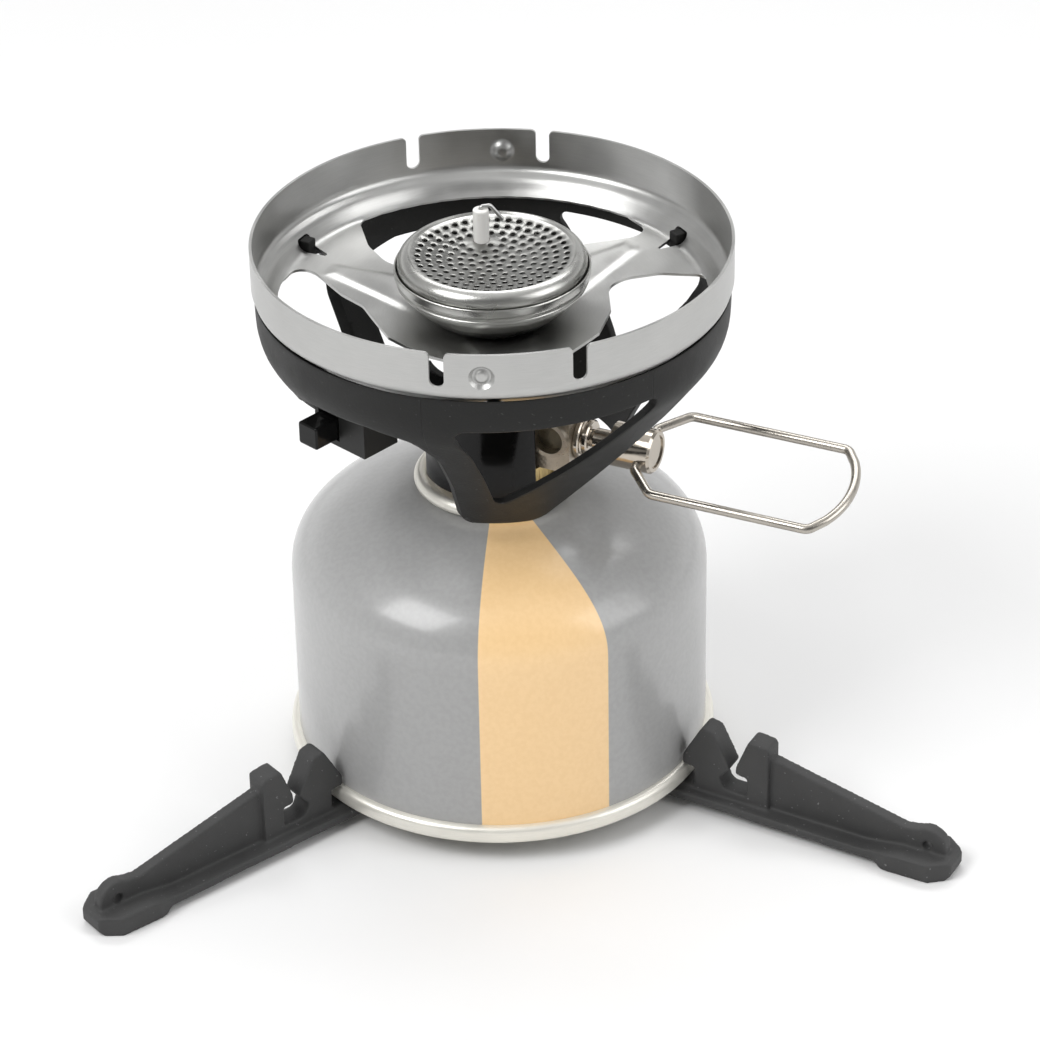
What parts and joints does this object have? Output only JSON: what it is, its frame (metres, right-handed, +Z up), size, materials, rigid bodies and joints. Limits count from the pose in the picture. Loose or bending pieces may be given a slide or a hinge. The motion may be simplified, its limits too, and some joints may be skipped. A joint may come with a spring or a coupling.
{
  "type": "camping stove",
  "caption": "Backpacking gas stove with a slotted pot ring and perforated burner, screwed on a small gas canister that stands in a folding three-legged stabiliser.",
  "frame": {"origin": "centre of the pivot rivet underside, on the floor and on the common axis of burner, canister and leg pivot", "axes": "+Z up along the stove axis; the valve knob points 25.5 degrees from +X towards -Y"},
  "size_m": [0.1826, 0.1753, 0.1273],
  "materials": {
    "canister_paint": "satin grey paint with one pale orange stripe",
    "canister_tin": "bare tinplate",
    "rubber": "black rubber",
    "leg_plastic": "fine matt grain",
    "hardware_steel": "bright steel",
    "brass": "turned brass",
    "gloss_black": "glossy black",
    "nickel": "nickel plated brass",
    "black_steel": "black oxide",
    "wire_steel": "drawn stainless wire",
    "pan_steel": "pressed stainless sheet",
    "head_steel": "pressed stainless sheet",
    "ceramic": "glazed white ceramic",
    "lead_sleeve": "black insulating sleeve",
    "igniter_black": "satin black",
    "base_plastic": "fine matt grain"
  },
  "bodies": {
    "stabiliser": {"canister_body": "canister_paint", "canister_base": "canister_tin", "canister_valve_cup": "canister_tin", "canister_valve_stem": "rubber", "leg_rear": "leg_plastic", "pivot_rivet": "hardware_steel", "pivot_washer": "hardware_steel"},
    "leg_left": {"leg_left": "leg_plastic"},
    "leg_right": {"leg_right": "leg_plastic"},
    "seal": {"canister_seal": "rubber"},
    "stove": {"canister_collar": "brass", "regulator_shroud": "gloss_black", "valve_body": "nickel", "pin_depressor": "brass", "port_plug": "brass", "regulator_cap": "nickel", "regulator_spring": "hardware_steel", "regulator_diaphragm": "rubber", "gland_nut": "nickel", "jet": "brass", "mixing_tube": "nickel", "lock_nut": "hardware_steel", "burner_pan": "pan_steel", "burner_bowl": "head_steel", "burner_cap": "head_steel", "electrode_ceramic": "ceramic", "electrode_wire": "hardware_steel", "ignition_lead": "lead_sleeve", "igniter_housing": "igniter_black", "piezo_spring": "hardware_steel", "piezo_crystal": "ceramic", "plastic_base": "base_plastic"},
    "spindle_seal": {"spindle_oring": "rubber"},
    "knob": {"valve_spindle": "nickel", "control_knob": "nickel", "set_screw": "black_steel"},
    "handle": {"wire_handle": "wire_steel"},
    "button": {"piezo_button": "gloss_black"}
  },
  "joints": [
    {"name": "leg_left_fold", "type": "hinge", "parent": "stabiliser", "child": "leg_left", "pos_m": [0, 0, 0.0037], "axis": [0, 0, 1], "range_deg": [-102, 0]},
    {"name": "leg_right_fold", "type": "hinge", "parent": "stabiliser", "child": "leg_right", "pos_m": [0, 0, 0.0057], "axis": [0, 0, 1], "range_deg": [0, 104]},
    {"name": "stove_rise", "type": "slide", "parent": "stabiliser", "child": "seal", "axis": [0, 0, 1], "range_m": [0, 0.0042]},
    {"name": "stove_unscrew", "type": "hinge", "parent": "seal", "child": "stove", "pos_m": [0, 0, 0.072], "axis": [0, 0, 1], "range_deg": [0, 1620]},
    {"name": "spindle_travel", "type": "slide", "parent": "stove", "child": "spindle_seal", "axis": [0.9026, -0.4305, 0], "range_m": [0, 0.0008]},
    {"name": "knob_turn", "type": "hinge", "parent": "spindle_seal", "child": "knob", "pos_m": [0, 0, 0.082], "axis": [0.9026, -0.4305, 0], "range_deg": [0, 540]},
    {"name": "handle_fold", "type": "hinge", "parent": "knob", "child": "handle", "pos_m": [0.03069, -0.01464, 0.082], "axis": [-0.4158, -0.8718, -0.2588], "range_deg": [-50, 35]},
    {"name": "button_press", "type": "slide", "parent": "stove", "child": "button", "axis": [0.7009, 0.7132, 0], "range_m": [0, 0.0035], "stiffness_N_per_m": 1500, "deforming": ["piezo_spring"]}
  ],
  "couplings": [
    {"joint": "stove_rise", "follows": "stove_unscrew", "m_per_rad": 0.00014435},
    {"joint": "spindle_travel", "follows": "knob_turn", "m_per_rad": 0.000079577}
  ]
}
